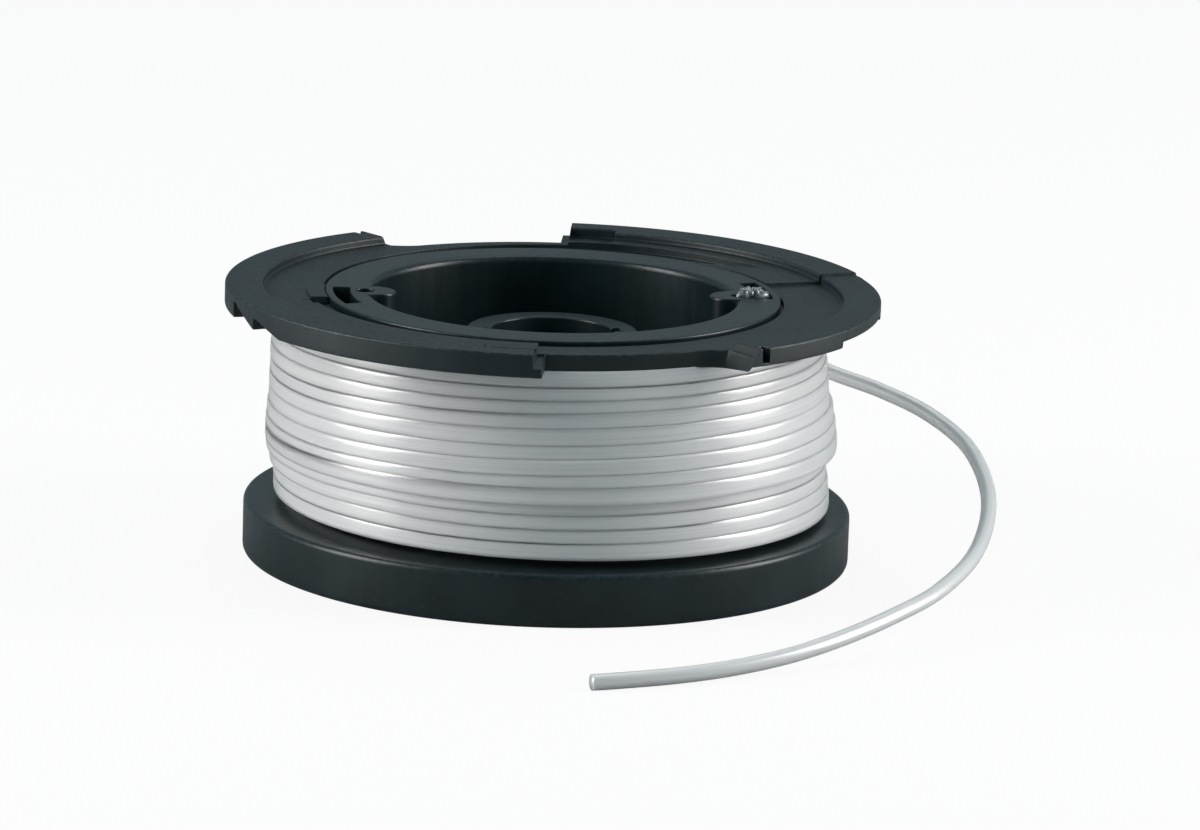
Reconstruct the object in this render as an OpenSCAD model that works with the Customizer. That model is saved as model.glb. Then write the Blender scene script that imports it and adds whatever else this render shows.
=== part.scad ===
// Trimmer line spool: a flanged drum with a separate cam flange, wound with nylon line.
// Millimetres. The origin is the centre of the lower flange's rest face, +Z runs up the axis.
// Angles are counted from the front (-Y) towards the right (+X).

/* [Lower flange] */
// Outer radius of the lower flange
lower_flange_r = 32.6; // [31.8:0.1:36]
// Height of the lower flange's rim
lower_flange_h = 5.6; // [4.8:0.1:8]
// Rounding of the lower flange's outer edges
lower_edge_round = 0.6; // [0.2:0.1:1.2]
// Thickness of the web that closes the spring cavity
web_t = 2.2; // [1.6:0.1:3]
// Thickness of the rim wall round the underside
rim_wall = 2.2; // [1.4:0.1:3]
// Number of stiffening ribs under the web
rib_count = 8; // [4:1:12]
// Thickness of one rib
rib_t = 1.4; // [0.8:0.1:2.4]
// Gap between the rest plane and the ribs
rib_lift = 0.6; // [0.2:0.1:1.2]

/* [Drum] */
// Outer radius of the drum that the line is wound on
drum_r = 24.2; // [24.1:0.1:25]
// Inner radius of the spring cavity
cavity_r = 19.6; // [19:0.1:20.2]
// Distance between the two flanges
channel_h = 21.15; // [20:0.05:26]
// Radius of the neck that carries the cam flange
neck_r = 23.8; // [23.7:0.1:23.9]
// Radius of the snap bead round the drum's top
bead_r = 24.3; // [24:0.1:24.5]
// Height of the snap bead
bead_h = 0.8; // [0.6:0.1:1.2]
// Rounding at the mouth of the cavity
mouth_round = 0.8; // [0.3:0.1:1.2]
// Rounding where the cavity wall meets the web
floor_round = 1; // [0.4:0.1:2]

/* [Hub] */
// Outer radius of the central hub tube
hub_r = 9.2; // [8.4:0.1:9.6]
// Radius of the hub bore
hub_bore_r = 6.5; // [5:0.1:6.8]
// Height of the hub above the web
hub_h = 18.8; // [12:0.1:20]
// Width of the two key notches in the mouth of the hub
hub_notch_w = 1.6; // [1:0.1:2.4]
// Depth of the key notches into the hub wall
hub_notch_depth = 0.9; // [0.5:0.1:1.4]
// Length of the key notches down the bore
hub_notch_h = 3; // [1:0.5:6]

/* [Line anchors] */
// Angle of the first anchor; the second one is opposite
anchor_angle = 95; // [90:1:98]
// Radius of the round post that holds the line end
post_r = 2.1; // [1.8:0.1:2.4]
// Distance of the post from the axis
post_at = 18.9; // [18.4:0.1:19.2]
// Distance of the hole in the post from the axis
post_hole_at = 20.1; // [19.4:0.1:20.2]
// Radius of the hole in the post
post_hole_r = 0.95; // [0.9:0.05:1.1]
// Depth of the hole in the post
post_hole_depth = 5; // [3:0.5:10]
// Depth of the saddle that the line lies in between its pocket and the hole
saddle_depth = 0.7; // [0:0.1:1]
// Inner radius of the curved pocket in the drum wall
pocket_in_r = 21.7; // [21.6:0.1:21.8]
// Outer radius of the curved pocket
pocket_out_r = 23.5; // [23.4:0.1:23.6]
// Depth of the pocket below the drum's top
pocket_depth = 4.4; // [4:0.1:6]
// Angle that the pocket covers
pocket_span = 21; // [18:1:24]

/* [Cam flange] */
// Outer radius of the cam flange's lobes
cam_r = 35; // [33.5:0.1:38]
// Radius of the two recesses between the lobes
recess_r = 29.2; // [28.8:0.1:29.4]
// Thickness of the flange's land between underside and floor
land_t = 1.35; // [1.2:0.05:1.8]
// Thickness left under the ring groove
groove_web_t = 0.85; // [0.6:0.05:1]
// Outer radius of the front groove where it starts, beside the bead
front_groove_r = 26.3; // [25.2:0.1:27]
// Outer radius of the wider groove at the back
back_groove_r = 28.5; // [27:0.1:28.6]
// Height of the ramped rim above the land
ramp_rim_h = 0.9; // [0.3:0.05:1.2]
// Rise of the floor on the raised half of a lobe
raised_floor_h = 0.35; // [0.1:0.05:0.6]
// Height of the rim above the raised floor
raised_rim_h = 0.8; // [0.4:0.05:1.2]
// Inner radius of the rim on the raised half
raised_rim_in_r = 30.6; // [30:0.1:31.5]
// Inner radius of the ramped rim where the lobe starts
ramp_in_start_r = 31.5; // [30.5:0.1:32.5]
// Inner radius of the ramped rim at the step
ramp_in_end_r = 30.9; // [30.2:0.1:32]
// Lift of the underside of the ramped half, at its outer edge
under_lift = 1; // [0.4:0.05:1.1]
// Chamfer on the flange's outer edges
edge_chamfer = 0.2; // [0.1:0.05:0.3]
// Angle where the first lobe starts
lobe_start = 35; // [33:1:38]
// Slant of the lobe's start face, measured along the rim
start_slant = 2; // [0.5:0.1:3]
// Radial depth of the saw teeth in the lower edge
tooth_depth = 1.4; // [1:0.1:2]
// Angle of the step up to the raised half
lobe_step = 110; // [108:1:112]
// Angle where the first lobe ends
lobe_end = 177; // [174:1:178]

/* [Line] */
// Diameter of the nylon line
line_d = 1.65; // [1.5:0.05:1.7]
// Number of turns in the outer layer
line_loops = 9; // [6:1:9]
// Radius of the line's centre in the lower rows
lower_rows_r = 29.1; // [28.8:0.1:29.2]
// How far the widest row stands out from the lower rows
bulge_out = 1.05; // [0.6:0.05:1.1]
// How far the top row stands out from the lower rows
top_row_out = 0.25; // [0:0.05:0.5]
// Height of the step between the lower rows and the widest row
bulge_z = 13; // [11:0.5:15]

/* [Hidden] */
$fn = 128;
fit_gap = 0.1;            // gap between the two mouldings
seat_gap = 0.05;          // gap between the wound line and what it lies on
web_z = lower_flange_h - web_t;
under_z = lower_flange_h + channel_h;
land_z = under_z + land_t;
groove_z = under_z + groove_web_t;
ring_z = groove_z + bead_h;
ramp_top_z = land_z + ramp_rim_h;
raised_z = land_z + raised_floor_h;
raised_top_z = raised_z + raised_rim_h;
hub_top_z = lower_flange_h + hub_h;
tooth_angle = lobe_step - 3.5;
land_lip = 0.3;           // width of the land left outside the recess radius under a lobe
lift_drop = 0.4;          // how much less the underside is lifted beside that land
start_lean = start_slant / (ramp_top_z - under_z);
groove_end_r = bead_r + 0.25;
front_groove_start = 283;
back_groove_start = 126;
key_lug_start = 268;
slot_w = 0.9;
slot_h = 1.55;
slot_depth = 1.1;
pocket_z = ring_z - pocket_depth;
pocket_mid_r = (pocket_in_r + pocket_out_r) / 2;
dark = [0.20, 0.24, 0.25];
dark_top = [0.25, 0.29, 0.30];
nylon = [0.88, 0.90, 0.90];

// Point at radius r, angle a from the front, height z
function at(r, a, z) = [r * sin(a), -r * cos(a), z];

// Quarter arc of radius r about c, from angle a0 to a1, in the profile plane
function arc(c, r, a0, a1, n = 4) =
    [for (i = [0:n]) c + r * [cos(a0 + (a1 - a0) * i / n), sin(a0 + (a1 - a0) * i / n)]];

// Sector of a ring between two angles, with chamfers on its outer edges
module sector(r_in, r_out, z0, z1, a0, a1, low = 0, top = 0)
    rotate(a0 - 90)
        rotate_extrude(angle = a1 - a0)
            polygon(concat([[r_in, z0]],
                           low > 0 ? [[r_out - low, z0], [r_out, z0 + low]] : [[r_out, z0]],
                           top > 0 ? [[r_out, z1 - top], [r_out - top, z1]] : [[r_out, z1]],
                           [[r_in, z1]]));

// Repeats a shape on the opposite side of the axis
module both_sides()
    for (turn = [0, 180]) rotate(turn) children();

// ---- spool body ----

module drum_profile()
    polygon(concat(
        [[hub_bore_r, rib_lift], [hub_r, rib_lift], [hub_r, web_z],
         [lower_flange_r - rim_wall, web_z], [lower_flange_r - rim_wall, 0]],
        arc([lower_flange_r - lower_edge_round, lower_edge_round], lower_edge_round, -90, 0),
        arc([lower_flange_r - lower_edge_round, lower_flange_h - lower_edge_round],
            lower_edge_round, 0, 90),
        [[drum_r, lower_flange_h], [drum_r, under_z], [neck_r, under_z], [neck_r, groove_z],
         [bead_r, groove_z], [bead_r, ring_z - edge_chamfer], [bead_r - edge_chamfer, ring_z]],
        arc([cavity_r + mouth_round, ring_z - mouth_round], mouth_round, 90, 180),
        arc([cavity_r - floor_round, lower_flange_h + floor_round], floor_round, 0, -90),
        [[hub_r, lower_flange_h], [hub_r, hub_top_z - edge_chamfer],
         [hub_r - edge_chamfer, hub_top_z], [hub_bore_r + edge_chamfer, hub_top_z],
         [hub_bore_r, hub_top_z - edge_chamfer]]));

module underside_ribs()
    for (i = [0:rib_count - 1])
        rotate(360 * (i + 0.5) / rib_count)
            translate([hub_r - 0.5, -rib_t / 2, rib_lift])
                cube([lower_flange_r - rim_wall - hub_r + 1, rib_t, web_z - rib_lift + 0.5]);

module anchor_post()
    rotate(anchor_angle - 90) {
        translate([post_at, 0, lower_flange_h - 0.5])
            cylinder(r = post_r, h = ring_z - lower_flange_h + 0.5, $fn = 48);
        translate([post_at, -post_r, lower_flange_h - 0.5])
            cube([cavity_r + 1 - post_at, 2 * post_r, ring_z - lower_flange_h + 0.5]);
    }

// Hole in the post, curved pocket in the wall and its window out to the drum's surface
module anchor_cut() {
    translate(at(post_hole_at, anchor_angle, ring_z - post_hole_depth))
        cylinder(r = post_hole_r, h = post_hole_depth + 1, $fn = 32);
    sector(pocket_in_r, pocket_out_r, pocket_z, ring_z + 1,
           anchor_angle - 4, anchor_angle - 4 + pocket_span);
    sector(pocket_out_r - 0.5, drum_r + 1, pocket_z, under_z - 0.3,
           anchor_angle + pocket_span - 9, anchor_angle + pocket_span - 4);
}

// Saddle between pocket and hole, at the post that holds the line
module line_saddle()
    rotate(anchor_angle - 90)
        translate([post_hole_at, -line_d / 2 - fit_gap, ring_z - saddle_depth])
            cube([pocket_mid_r - post_hole_at, line_d + 2 * fit_gap, saddle_depth + 1]);

module hub_notch()
    translate([hub_bore_r - 0.5, -hub_notch_w / 2, hub_top_z - hub_notch_h])
        cube([hub_notch_depth + 0.5, hub_notch_w, hub_notch_h + 1]);

module spool_body()
    color(dark)
        difference() {
            union() {
                rotate_extrude() drum_profile();
                underside_ribs();
                both_sides() anchor_post();
            }
            both_sides() {
                anchor_cut();
                rotate(8) hub_notch();
            }
            line_saddle();
        }

// ---- cam flange ----

// Inner outline of the ramped rim: a spiral from the lobe's start to its step
function ramp_spiral(n = 24) =
    [for (i = [0:n])
        let (a = lobe_start + (lobe_step - lobe_start + 1) * i / n,
             r = ramp_in_start_r + (ramp_in_end_r - ramp_in_start_r) * i / n)
        [r * sin(a), -r * cos(a)]];

// Takes the flange down to the land in the recess after a lobe
module recess_cut() {
    sector(recess_r, cam_r + 1, under_z - 1, raised_top_z + 1, lobe_end, lobe_start + 180);
    sector(neck_r - 1, recess_r + 1, land_z, raised_top_z + 1, lobe_end, lobe_start + 180);
}

// Top, floor and lifted underside of the ramped half
module ramped_cut() {
    rotate(lobe_start - 91)
        rotate_extrude(angle = lobe_step - lobe_start + 1)
            polygon([[neck_r - 1, ramp_top_z], [cam_r - edge_chamfer, ramp_top_z],
                     [cam_r + 1, ramp_top_z - edge_chamfer - 1], [cam_r + 1, raised_top_z + 1],
                     [neck_r - 1, raised_top_z + 1]]);
    translate([0, 0, land_z])
        linear_extrude(raised_top_z) polygon(concat([[0, 0]], ramp_spiral()));
    lifted_underside(lobe_start - 1, lobe_start + 25, under_lift / 2);
    lifted_underside(lobe_start + 24, tooth_angle - 18, under_lift);
}

// Cut under the rim between two angles, deepest at the outer edge
module lifted_underside(a0, a1, lift)
    rotate(a0 - 90)
        rotate_extrude(angle = a1 - a0)
            polygon([[recess_r + land_lip, under_z - 1],
                     [recess_r + land_lip, under_z + lift * (1 - lift_drop)],
                     [ramp_in_start_r, under_z + lift], [cam_r + 1, under_z + lift],
                     [cam_r + 1, under_z - 1]]);

// Floor of the raised half and the pocket behind the lobe's end
module raised_cut() {
    sector(neck_r - 1, raised_rim_in_r, raised_z, raised_top_z + 1, lobe_step, lobe_end + 1);
    sector(recess_r - 0.5, recess_r + 3.1, land_z, raised_top_z + 1, lobe_end - 9.5, lobe_end + 1);
}

// Low tab that sticks out past the end of the raised half
module end_tab()
    sector(recess_r - 1, cam_r, under_z, under_z + 1.05, lobe_end - 1, lobe_end + 1.6,
           edge_chamfer, edge_chamfer);

// Places a profile drawn along the rim and upwards, at an angle, and runs it outwards
module on_rim(a, r, length)
    rotate(a - 90) translate([r, 0, under_z]) rotate([90, 0, 90]) linear_extrude(length) children();

// Slanted wedge that trims the start of the ramped half
module start_cut()
    on_rim(lobe_start, recess_r + land_lip, cam_r)
        polygon([[-3, -1], [-start_lean, -1], [6 * start_lean, 6], [-3, 6]]);

// Upright slot in the side face beside the lobe's start
module side_slot()
    on_rim(lobe_start + 4, cam_r - slot_depth, 3)
        translate([-slot_w / 2, ramp_top_z - under_z - slot_h]) square([slot_w, slot_h + 1]);

// Saw teeth in the lower edge: angle, height and length of each notch
module saw_teeth()
    for (tooth = [[tooth_angle, 1.75, 6.2], [tooth_angle + 10.5, 1.15, 5.5]])
        on_rim(tooth[0], cam_r - tooth_depth, 3)
            polygon([[0, -1], [0, tooth[1]], [0.8, tooth[1]],
                     [tooth[2] + (tooth[2] - 0.8) / tooth[1], -1]]);

// Groove beside the bead: its outer side keeps radius r over the first stretch, then runs inwards
module spiral_groove(a0, a1, r, stretch, start_turn, n = 32)
    translate([0, 0, groove_z])
        linear_extrude(raised_top_z)
            polygon(concat(
                [for (i = [0:n])
                    let (a = a0 + (a1 - a0) * i / n,
                         in = max(0, (a - a0 - stretch) / (a1 - a0 - stretch)))
                    (r + (groove_end_r - r) * in) * [sin(a), -cos(a)]],
                [for (i = [0:n])
                    let (a = a1 + (a0 + start_turn - a1) * i / n) (neck_r - 1) * [sin(a), -cos(a)]]));

// Lug beside the bead, flush with the drum's top, that closes the back groove
module key_lug()
    sector(neck_r + fit_gap, front_groove_r, groove_z - 0.3, ring_z, key_lug_start, front_groove_start + 0.5);

module cam_flange()
    color(dark_top)
        difference() {
            union() {
                difference() {
                    sector(neck_r + fit_gap, cam_r, under_z, raised_top_z, 0, 360,
                           edge_chamfer, edge_chamfer);
                    both_sides() {
                        recess_cut();
                        ramped_cut();
                        raised_cut();
                        start_cut();
                        side_slot();
                        saw_teeth();
                    }
                    spiral_groove(front_groove_start, anchor_angle + 360, front_groove_r, 0, 0);
                    spiral_groove(back_groove_start, key_lug_start + 1, back_groove_r, 38, 22);
                }
                both_sides() end_tab();
                key_lug();
            }
            // clearance round the bead
            sector(neck_r - 1, bead_r + fit_gap, groove_z, raised_top_z + 1, 0, 360);
        }

// ---- line ----

function unit(v) = v / norm(v);

// Tangent of a route at point i
function tangent(p, i) =
    unit(p[min(i + 1, len(p) - 1)] - p[max(i - 1, 0)]);

// Ring frames carried along the route without twist, from a first side vector
function carried(p, i, side, out) =
    i == len(p) ? out
    : let (t = tangent(p, i), s = unit(side - (side * t) * t))
      carried(p, i + 1, s, concat(out, [s]));

// Tube of radius r with n sides swept along the points p
module tube(p, r, n, side = [0, 0, 1]) {
    frames = carried(p, 0, side, []);
    rings = [for (i = [0:len(p) - 1])
                let (t = tangent(p, i), s = frames[i], b = cross(t, s))
                for (k = [0:n - 1]) p[i] + r * (cos(360 * k / n) * s + sin(360 * k / n) * b)];
    m = len(p);
    polyhedron(rings, concat(
        [[for (k = [0:n - 1]) n - 1 - k]],
        [for (i = [0:m - 2]) for (k = [0:n - 1]) let (a = i * n + k, b = i * n + (k + 1) % n)
            each [[a, b, b + n], [a, b + n, a + n]]],
        [[for (k = [0:n - 1]) (m - 1) * n + k]]));
}

// Rows of the outer layer: the first and the last height of the line's centre
row_gap = 0.3;
first_z = lower_flange_h + line_d / 2 + row_gap;
last_z = under_z - line_d / 2 - row_gap - 0.1;
rings_per_loop = 24;
start_angle = 230;        // where the outer layer comes out of the layers below
exit_angle = 190;         // where the free end leaves the spool
turned = 360 * line_loops + start_angle - exit_angle;
step_h = 1.8;             // height over which the rows widen to the bulge
bend_r = 0.95;            // bend of the line where it comes out of the core

// Radius of the line's centre at height z: narrow rows, a step out, then a slow taper
function rows_r(z) =
    z < bulge_z - step_h / 2 ? lower_rows_r
    : z < bulge_z + step_h / 2
        ? lower_rows_r + bulge_out * (z - bulge_z + step_h / 2) / step_h
    : lower_rows_r + bulge_out
        + (top_row_out - bulge_out) * (z - bulge_z - step_h / 2) / (last_z - bulge_z - step_h / 2);

// The flat chords between two rings of the sweep lie nearer the axis than the rings
function core_r(z) = rows_r(z) * cos(180 / rings_per_loop) - line_d / 2 - seat_gap;

// The bend out of the core, the loops, and one diameter of straight line at the end
loops = [for (i = [0:ceil(turned / 360 * rings_per_loop)])
            let (t = min(i * 360 / rings_per_loop, turned), z = first_z + (last_z - first_z) * t / turned)
            at(rows_r(z), start_angle - t, z)];
bend_turn = bend_r / lower_rows_r * 180 / PI;
root = concat(
    [at(lower_rows_r - bend_r - line_d, start_angle + bend_turn, first_z),
     at(lower_rows_r - bend_r - line_d / 2, start_angle + bend_turn, first_z)],
    [for (q = [0:22.5:67.5])
        at(lower_rows_r - bend_r + bend_r * sin(q), start_angle + bend_turn * cos(q), first_z)]);
exit_dir = [-cos(exit_angle), -sin(exit_angle), 0];
exit_point = at(rows_r(last_z), exit_angle, last_z) + line_d * exit_dir;
winding_route = concat(root, loops, [exit_point]);

// Least gap between turns, measured from centre to centre less the diameter
winding_gap = min([for (i = [0:len(loops) - 1])
                      for (j = [i + rings_per_loop / 2:1:len(loops) - 1])
                          norm(loops[i] - loops[j])]) - line_d;
echo(least_gap_in_winding = winding_gap);

// Curve through the points p, with n steps between two of them
function through(p, n) = concat(
    [for (i = [0:len(p) - 2], k = [0:n - 1])
        let (t = k / n, a = p[max(i - 1, 0)], b = p[i], c = p[i + 1], d = p[min(i + 2, len(p) - 1)])
        0.5 * (2 * b + (c - a) * t + (2 * a - 5 * b + 4 * c - d) * t * t
               + (3 * b - a - 3 * c + d) * t * t * t)],
    [p[len(p) - 1]]);

// Route of the free end: round the back of the rows, out to the right and down to the floor
tail_points = [
    [1.5, 30.6, 25.0], [8, 30.9, 24.2], [15, 29.6, 22.4], [21.5, 26.8, 20.0], [26.5, 23.1, 18.0],
    [30.7, 19.4, 16.5], [36.3, 16.4, 15.2], [41.6, 11.4, 13.7], [45.6, 3.7, 11.7],
    [47.1, -6.6, 8.8], [45.2, -17.7, 5.9], [40.9, -27.2, 4.0], [35.7, -34.6, 3.0],
    [30.3, -40.5, 2.1], [24.9, -45.2, 1.4], [19.3, -49.0, 1.0], [13.8, -52.0, 0.85],
    [8.3, -54.4, 0.83], [5, -55.6, 0.83]];
tail_route = concat([exit_point], through(concat([exit_point + line_d * exit_dir], tail_points), 2));

// Route of the anchored end: in through the window, up the pocket, over and down into the post.
// Radius, angle from the anchor and height above the drum's top.
low = line_d / 2 + 0.2 - pocket_depth;
over = line_d / 2 + 0.1 - saddle_depth;
window_turn = pocket_span - 6.5;
anchor_points = [for (q = [
    [drum_r, window_turn, low], [pocket_mid_r + 1.05, window_turn, low],
    [pocket_mid_r + 0.45, window_turn - 0.3, low + 0.05], [pocket_mid_r + 0.05, window_turn - 1.3, low + 0.2],
    [pocket_mid_r, 11, low + 0.7], [pocket_mid_r, 8, low + 1.5], [pocket_mid_r, 5, low + 2.4],
    [pocket_mid_r, 2.6, low + 3.2], [pocket_mid_r - 0.05, 1, over - 0.6],
    [pocket_mid_r - 0.35, 0, over - 0.23], [pocket_mid_r - 0.95, 0, over],
    [post_hole_at + 1.3, 0, over], [post_hole_at + 0.75, 0, over - 0.08],
    [post_hole_at + 0.25, 0, over - 0.4], [post_hole_at, 0, over - 0.95], [post_hole_at, 0, over - 1.95],
    [post_hole_at, 0, 1 - post_hole_depth]])
    at(q[0], anchor_angle + q[1], ring_z + q[2])];

// The layers below the outer one, as a plain drum of line
module line_inner_layers()
    color(nylon) difference() {
        rotate_extrude()
            polygon([[drum_r + seat_gap, lower_flange_h + seat_gap],
                     [core_r(0), lower_flange_h + seat_gap],
                     [core_r(0), bulge_z - step_h / 2 + line_d / 2],
                     [core_r(bulge_z + step_h / 2 + line_d), bulge_z + step_h / 2 + line_d / 2],
                     [core_r(last_z), last_z - line_d / 2],
                     [core_r(last_z), under_z - row_gap],
                     [drum_r + seat_gap, under_z - row_gap]]);
        // hole that the outer layer comes out of
        rotate(start_angle + bend_turn - 90)
            translate([lower_rows_r - bend_r - line_d - seat_gap, 0, first_z])
                rotate([0, 90, 0]) cylinder(r = line_d / 2 + seat_gap, h = bend_r + 3 * line_d, $fn = 32);
    }

module line_winding()
    color(nylon) tube(winding_route, line_d / 2, 6);

module line_tail()
    color(nylon) tube(tail_route, line_d / 2, 8);

module line_anchor_end()
    color([0.72, 0.75, 0.75]) tube(anchor_points, line_d / 2, 8);

spool_body();
cam_flange();
line_inner_layers();
line_winding();
line_tail();
line_anchor_end();
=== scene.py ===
import math

import bmesh
import bpy
import numpy as np
from mathutils import Matrix


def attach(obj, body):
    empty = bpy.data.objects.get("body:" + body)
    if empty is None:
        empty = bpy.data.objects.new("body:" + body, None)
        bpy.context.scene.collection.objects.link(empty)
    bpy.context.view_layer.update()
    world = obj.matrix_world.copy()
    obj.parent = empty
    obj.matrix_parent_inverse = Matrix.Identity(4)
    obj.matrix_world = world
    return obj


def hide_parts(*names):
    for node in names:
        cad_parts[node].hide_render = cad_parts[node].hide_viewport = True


mm = 0.001
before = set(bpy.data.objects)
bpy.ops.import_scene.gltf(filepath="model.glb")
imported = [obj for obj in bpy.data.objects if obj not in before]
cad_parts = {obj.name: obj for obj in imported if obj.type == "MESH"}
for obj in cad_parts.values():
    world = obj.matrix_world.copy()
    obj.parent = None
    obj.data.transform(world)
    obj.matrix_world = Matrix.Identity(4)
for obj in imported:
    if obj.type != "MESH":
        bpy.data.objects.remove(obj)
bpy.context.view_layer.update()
print("stage: frame loaded, nodes", sorted(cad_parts))

view = {
    "distance": 0.6488,     # from the centre of the lower flange's rest face, metres
    "elevation": 14.231,    # of the camera, seen from that centre, degrees
    "pan": 0.494,           # turn of the view to the right, degrees
    "tilt": 1.308,          # lift of the view above the aim at that centre
    "roll": 1.9205,         # turn about the view's own line
    "lens": 180.46,         # millimetres
    "sensor": 36.0,
    "clip": (0.01, 20),
}


def makeCamera(v):
    # position on a sphere round the origin, then pan, tilt and roll of the view
    e, pan, roll = (math.radians(v[k]) for k in ("elevation", "pan", "roll"))
    dip = e - math.radians(v["tilt"])
    place = np.array([0, -math.cos(e), math.sin(e)]) * v["distance"]
    ahead = np.array([math.sin(pan) * math.cos(dip), math.cos(pan) * math.cos(dip), -math.sin(dip)])
    right = np.cross(ahead, [0, 0, 1])
    right /= np.linalg.norm(right)
    up = np.cross(right, ahead)
    rolledRight = right * math.cos(roll) + up * math.sin(roll)
    rolledUp = up * math.cos(roll) - right * math.sin(roll)
    data = bpy.data.cameras.new("camera")
    data.sensor_fit = "HORIZONTAL"
    data.sensor_width = v["sensor"]
    data.lens = v["lens"]
    data.clip_start, data.clip_end = v["clip"]
    camera = bpy.data.objects.new("camera", data)
    bpy.context.collection.objects.link(camera)
    turned = np.eye(4)
    turned[:3, 0], turned[:3, 1], turned[:3, 2] = rolledRight, rolledUp, -ahead
    turned[:3, 3] = place
    camera.matrix_world = Matrix(turned.tolist())
    bpy.context.scene.camera = camera


makeCamera(view)
print("stage: camera")


def addObject(name, mesh):
    made = bpy.data.objects.new(name, mesh)
    bpy.context.collection.objects.link(made)
    return made


def at(radius, angle, height):
    # point at a radius and an angle counted from the front (-Y) towards +X, in mm
    a = np.radians(angle)
    place = np.broadcast_arrays(radius * np.sin(a), -radius * np.cos(a), height)
    return np.stack(place, -1).astype(float)


def smoothThrough(points, steps):
    # Catmull-Rom curve through the points, with the given steps between two of them
    p = np.asarray(points, float)
    padded = np.vstack([p[:1], p, p[-1:]])
    t = np.arange(steps)[None, :, None] / steps
    a, b, c, d = (padded[k:len(p) - 1 + k, None] for k in range(4))
    curve = 0.5 * (2 * b + (c - a) * t + (2 * a - 5 * b + 4 * c - d) * t ** 2
                   + (3 * b - a - 3 * c + d) * t ** 3)
    return np.vstack([curve.reshape(-1, 3), p[-1:]])


trimmerLine = {
    "diameter": 1.65,
    "sides": 24,
    "squareness": 9.0,      # power of the wound rows' section, 2 being round
    "faceTilt": 2.0,        # how far the rows' flattened faces look up, degrees
    "pressing": 0.15,       # how much taller the pressed rows are than round ones
    "evening": 0.35,        # how far their normals turn to the axis's own radius
    "lookUp": 9.0,          # with that radius tipped up, degrees
    "anchorAngle": 95,      # post that holds the inner end
    "ringTop": 28.4,        # top of the drum's ring
    "exitAngle": 190,       # where the free end leaves the top row
    "firstTurn": 0.03,      # where the helix takes over from the inner end
    "ringsHidden": 40,      # rings of the sweep per turn inside
    "ringsShown": 120,      # and in the outer layer
    "climbShare": 0.44,     # share of a turn, at the back, in which a row climbs to the next
    "settle": 4,            # 1 / the share of a turn in which it goes over into the outer layer
    "ripple": 0.03,         # how far the outer turns wander in radius
    "drift": 0.05,          # and in height
    "wander": (0.37, 1.83, 0.61),   # waves per turn, two in radius and one in height
    "nesting": 0.03,        # how far every other row lies deeper
    "chewed": 0.11,         # waves in the radius of the end that was pressed into its hole
    "chewedLength": 9.5,    # and how far they reach along it
}

# turns wound so far, radius of the line's centre, its height: three layers inside, then the outer one
windingKnots = np.array([
    [0.00, 25.09, 25.00], [0.25, 25.09, 24.90], [11.10, 25.09, 6.50],
    [11.35, 26.05, 6.50], [23.00, 26.05, 25.40], [23.25, 27.05, 25.40],
    [34.48, 27.05, 6.50], [34.73, 29.10, 6.50], [47.76, 28.90, 25.525]])
outerFrom = 34.73

# the outer layer's rows at the front, from the top one down: heights of the line's centre
rowFronts = np.array([
    25.45, 25.35, 23.85, 22.35, 20.95, 19.5, 17.65, 16.2,
    14.65, 13.35, 12.2, 10.6, 9.0, 7.45, 6.45])

# by height: radius of the rows on the left and on the right, and how much a row rises to the right
rowHeights = np.array([
    6.4, 8.9, 10.6, 12.2, 13.35, 14.65, 16.2, 17.65, 19.5, 20.95, 22.35, 23.85, 25.5])
leftRadii = np.array([
    28.5, 28.7, 29.1, 29.5, 29.6, 29.55, 29.45, 29.35, 29.25, 29.25, 29.2, 29.1, 29.05])
rightRadii = np.array([
    29.5, 29.35, 29.1, 29.0, 30.1, 29.9, 29.55, 29.15, 28.95, 28.8, 28.45, 28.3, 28.25])
tiltHeights = np.array([7.0, 12.0, 14.5, 21.0, 25.4])
rowTilts = np.array([-0.20, -0.20, 0.50, 0.50, 0.20])

# the inner end: radius, angle past the post, height over the ring's top
anchorRoute = [
    [20.1, 0, -4], [20.1, 0, -1.72], [20.1, 0, -0.72], [20.35, 0, -0.17], [20.85, 0, 0.11],
    [21.4, 0, 0.17], [21.65, 0, 0.17], [22.25, 0, -0.03], [22.55, 1, -0.37], [22.6, 2.6, -0.9],
    [22.6, 5, -1.5], [22.6, 8, -2.2], [22.6, 11, -2.85], [22.65, 13.2, -3.2], [23.05, 14.2, -3.3],
    [23.65, 14.5, -3.37], [24.2, 13.4, -3.4], [24.8, 11.4, -3.4]]

# the free end: round the back of the rows, out to the right and down to the floor
tailRoute = [
    [1.5, 30.6, 25.0], [8, 30.9, 24.2], [15, 29.6, 22.4], [21.5, 26.8, 20.0], [26.5, 23.1, 18.0],
    [30.7, 19.4, 16.5], [36.3, 16.4, 15.2], [41.6, 11.4, 13.7], [45.6, 3.7, 11.7],
    [47.03, -6.6, 8.8], [45.2, -17.7, 5.9], [40.9, -27.2, 4.0], [35.7, -34.6, 3.0],
    [30.3, -40.5, 2.1], [24.9, -45.2, 1.4], [19.3, -49.0, 1.0], [13.8, -52.0, 0.85],
    [8.3, -54.4, 0.83], [5, -55.6, 0.83]]


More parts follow.
